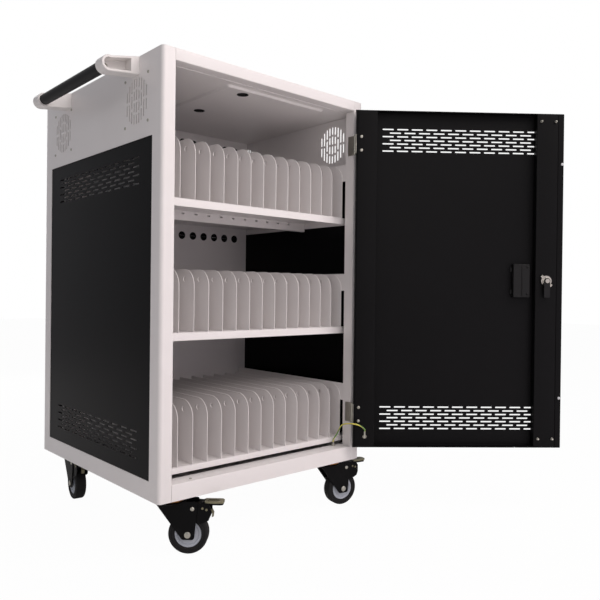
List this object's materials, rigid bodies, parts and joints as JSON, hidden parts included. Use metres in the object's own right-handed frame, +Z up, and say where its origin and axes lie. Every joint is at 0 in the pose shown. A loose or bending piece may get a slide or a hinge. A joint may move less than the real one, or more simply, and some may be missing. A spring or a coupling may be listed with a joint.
{
  "type": "laptop charging cart",
  "caption": "Upright sheet-steel cabinet on braked swivel casters that stores and charges laptops in divider racks, with a hinged front door, rear door and push handle.",
  "frame": {"origin": "on the floor, in the middle of the footprint of the whole object at rest with the front door open, the earth lead left out", "axes": "+X to the right along the front of the cabinet, +Y from the front to the back, +Z up"},
  "size_m": [1.1082, 1.0362, 1.1],
  "materials": {
    "white_paint": "white fine-texture powder coat",
    "black_paint": "black fine-texture powder coat",
    "black_gloss": "black smooth powder coat",
    "white_plastic": "white moulded plastic",
    "black_plastic": "black moulded plastic",
    "grey_plastic": "grey moulded plastic",
    "red_plastic": "red moulded plastic",
    "rubber": "black tread rubber",
    "zinc": "zinc-plated steel",
    "chrome": "chrome-plated die casting",
    "lead": "yellow-green insulation"
  },
  "bodies": {
    "cabinet": {"side_left": "white_paint", "side_right": "white_paint", "top_cover": "white_paint", "base_pan": "white_paint", "ceiling_panel": "white_paint", "vent_panel_left": "black_gloss", "vent_panel_right": "black_gloss", "partition": "white_paint", "tray_lower": "white_paint", "tray_middle": "white_paint", "tray_upper": "white_paint", "divider_rack_lower": "white_paint", "divider_rack_middle": "white_paint", "divider_rack_upper": "white_paint", "power_strip_left": "white_plastic", "power_strip_right": "white_plastic", "control_box": "grey_plastic", "fan_frame_front": "black_plastic", "fan_frame_rear": "black_plastic", "handle_bracket_front": "white_plastic", "handle_bracket_rear": "white_plastic", "handle_grip": "black_plastic", "hinge_leaf_lower": "zinc", "hinge_leaf_upper": "zinc", "earth_stud": "zinc", "earth_lead": "lead", "caster_plate_front_left": "zinc", "caster_plate_front_right": "zinc", "caster_plate_rear_left": "zinc", "caster_plate_rear_right": "zinc"},
    "front_door": {"door_panel": "black_paint", "door_stiffener_hinge": "black_paint", "door_stiffener_lock": "black_paint", "pull_cup": "black_plastic", "lock_body": "chrome", "hinge_knuckle_lower": "zinc", "hinge_knuckle_upper": "zinc", "ring_terminal": "zinc"},
    "front_lock_cam": {"lock_cam": "zinc"},
    "rear_door": {"rear_door_panel": "white_paint"},
    "rear_lock": {"rear_lock_cam": "chrome"},
    "main_switch": {"power_switch": "red_plastic"},
    "rotor_front": {"fan_rotor_front": "black_plastic"},
    "rotor_rear": {"fan_rotor_rear": "black_plastic"},
    "fork_front_left": {"caster_fork_front_left": "black_paint"},
    "wheel_front_left": {"caster_hub_front_left": "grey_plastic", "caster_tyre_front_left": "rubber"},
    "pedal_front_left": {"caster_pedal_front_left": "zinc"},
    "fork_front_right": {"caster_fork_front_right": "black_paint"},
    "wheel_front_right": {"caster_hub_front_right": "grey_plastic", "caster_tyre_front_right": "rubber"},
    "pedal_front_right": {"caster_pedal_front_right": "zinc"},
    "fork_rear_left": {"caster_fork_rear_left": "black_paint"},
    "wheel_rear_left": {"caster_hub_rear_left": "grey_plastic", "caster_tyre_rear_left": "rubber"},
    "pedal_rear_left": {"caster_pedal_rear_left": "zinc"},
    "fork_rear_right": {"caster_fork_rear_right": "black_paint"},
    "wheel_rear_right": {"caster_hub_rear_right": "grey_plastic", "caster_tyre_rear_right": "rubber"},
    "pedal_rear_right": {"caster_pedal_rear_right": "zinc"}
  },
  "joints": [
    {"name": "front_door_hinge", "type": "hinge", "parent": "cabinet", "child": "front_door", "pos_m": [0.1164, -0.14569, 0.62], "axis": [0, 0, 1], "range_deg": [-140, 40], "deforming": ["earth_lead"]},
    {"name": "front_lock_turn", "type": "hinge", "parent": "front_door", "child": "front_lock_cam", "pos_m": [0.48819, -0.50536, 0.62], "axis": [-0.6428, -0.766, 0], "range_deg": [0, 90]},
    {"name": "rear_door_pivot", "type": "hinge", "parent": "cabinet", "child": "rear_door", "pos_m": [-0.4226, 0.49861, 0.62], "axis": [0, 0, 1], "range_deg": [0, 120]},
    {"name": "rear_lock_turn", "type": "hinge", "parent": "rear_door", "child": "rear_lock", "pos_m": [0.0824, 0.48462, 0.62], "axis": [0, -1, 0], "range_deg": [0, 90]},
    {"name": "main_switch_rock", "type": "hinge", "parent": "cabinet", "child": "main_switch", "pos_m": [-0.1586, 0.42262, 0.953], "axis": [1, 0, 0], "range_deg": [0, 16]},
    {"name": "fan_front_spin", "type": "hinge", "parent": "cabinet", "child": "rotor_front", "pos_m": [-0.4526, -0.02839, 1.004], "axis": [1, 0, 0], "continuous": true},
    {"name": "fan_rear_spin", "type": "hinge", "parent": "cabinet", "child": "rotor_rear", "pos_m": [-0.4526, 0.38061, 1.004], "axis": [1, 0, 0], "continuous": true},
    {"name": "swivel_front_left", "type": "hinge", "parent": "cabinet", "child": "fork_front_left", "pos_m": [-0.4026, -0.08739, 0.115], "axis": [0, 0, 1], "continuous": true},
    {"name": "wheel_front_left", "type": "hinge", "parent": "fork_front_left", "child": "wheel_front_left", "pos_m": [-0.37334, -0.11467, 0.0445], "axis": [0.682, 0.7314, 0], "continuous": true},
    {"name": "brake_front_left", "type": "hinge", "parent": "fork_front_left", "child": "pedal_front_left", "pos_m": [-0.36603, -0.12148, 0.102], "axis": [0.682, 0.7314, 0], "range_deg": [0, 9]},
    {"name": "swivel_front_right", "type": "hinge", "parent": "cabinet", "child": "fork_front_right", "pos_m": [0.0854, -0.08739, 0.115], "axis": [0, 0, 1], "continuous": true},
    {"name": "wheel_front_right", "type": "hinge", "parent": "fork_front_right", "child": "wheel_front_right", "pos_m": [0.12453, -0.0957, 0.0445], "axis": [0.2079, 0.9781, 0], "continuous": true},
    {"name": "brake_front_right", "type": "hinge", "parent": "fork_front_right", "child": "pedal_front_right", "pos_m": [0.13431, -0.09778, 0.102], "axis": [0.2079, 0.9781, 0], "range_deg": [0, 9]},
    {"name": "swivel_rear_left", "type": "hinge", "parent": "cabinet", "child": "fork_rear_left", "pos_m": [-0.4026, 0.45061, 0.115], "axis": [0, 0, 1], "continuous": true},
    {"name": "wheel_rear_left", "type": "hinge", "parent": "fork_rear_left", "child": "wheel_rear_left", "pos_m": [-0.40747, 0.41091, 0.0445], "axis": [0.9925, -0.1219, 0], "continuous": true},
    {"name": "brake_rear_left", "type": "hinge", "parent": "fork_rear_left", "child": "pedal_rear_left", "pos_m": [-0.40869, 0.40099, 0.102], "axis": [0.9925, -0.1219, 0], "range_deg": [0, 9]},
    {"name": "swivel_rear_right", "type": "hinge", "parent": "cabinet", "child": "fork_rear_right", "pos_m": [0.0854, 0.45061, 0.115], "axis": [0, 0, 1], "continuous": true},
    {"name": "wheel_rear_right", "type": "hinge", "parent": "fork_rear_right", "child": "wheel_rear_right", "pos_m": [0.05076, 0.47062, 0.0445], "axis": [-0.5, -0.866, 0], "continuous": true},
    {"name": "brake_rear_right", "type": "hinge", "parent": "fork_rear_right", "child": "pedal_rear_right", "pos_m": [0.0421, 0.47562, 0.102], "axis": [-0.5, -0.866, 0], "range_deg": [0, 9]}
  ]
}
